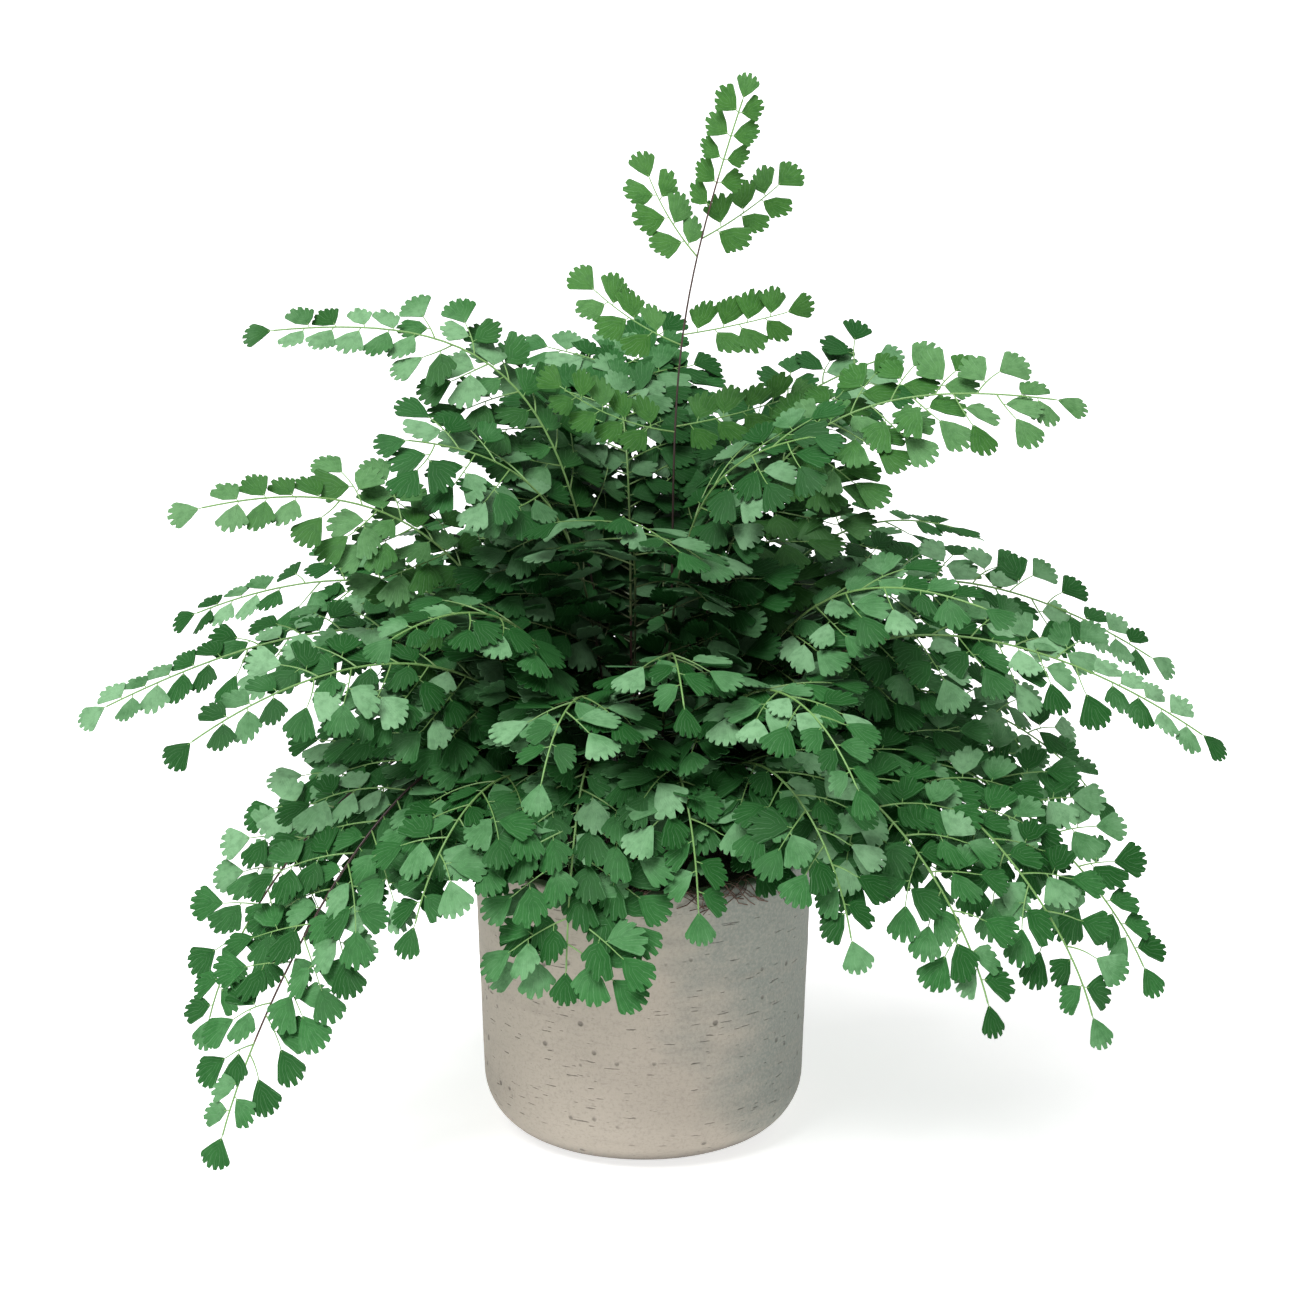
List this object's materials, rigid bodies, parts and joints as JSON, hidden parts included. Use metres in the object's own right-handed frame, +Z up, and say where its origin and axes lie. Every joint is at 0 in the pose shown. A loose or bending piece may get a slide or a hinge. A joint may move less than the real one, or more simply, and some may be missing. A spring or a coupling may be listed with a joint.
{
  "type": "potted maidenhair fern",
  "caption": "Maidenhair fern with arching, drooping fronds of small fan-shaped leaflets, growing in a round concrete pot filled with compost.",
  "frame": {"origin": "centre of the pot's flat base, on the surface that it stands on", "axes": "+Z up along the pot's axis, -Y towards the front of the plant as pictured, +X to the right"},
  "size_m": [0.5055, 0.3319, 0.4739],
  "materials": {
    "concrete": "matte",
    "compost": "matte",
    "foliage": "satin",
    "stalks": "satin"
  },
  "bodies": {
    "root": {"pot": "concrete", "compost": "compost", "frond_crown_01": "foliage", "frond_crown_02": "foliage", "frond_crown_03": "foliage", "frond_crown_04": "foliage", "frond_crown_05": "foliage", "frond_crown_06": "foliage", "frond_crown_07": "foliage", "frond_crown_08": "foliage", "frond_middle_01": "foliage", "frond_middle_02": "foliage", "frond_middle_03": "foliage", "frond_middle_04": "foliage", "frond_middle_05": "foliage", "frond_middle_06": "foliage", "frond_middle_07": "foliage", "frond_middle_08": "foliage", "frond_middle_09": "foliage", "frond_middle_10": "foliage", "frond_middle_11": "foliage", "frond_middle_12": "foliage", "frond_middle_13": "foliage", "frond_middle_14": "foliage", "frond_outer_01": "foliage", "frond_outer_02": "foliage", "frond_outer_03": "foliage", "frond_outer_04": "foliage", "frond_outer_05": "foliage", "frond_outer_06": "foliage", "frond_outer_07": "foliage", "frond_outer_08": "foliage", "frond_outer_09": "foliage", "frond_outer_10": "foliage", "frond_outer_11": "foliage", "frond_outer_12": "foliage", "frond_outer_13": "foliage", "frond_outer_14": "foliage", "frond_outer_15": "foliage"}
  },
  "joints": []
}
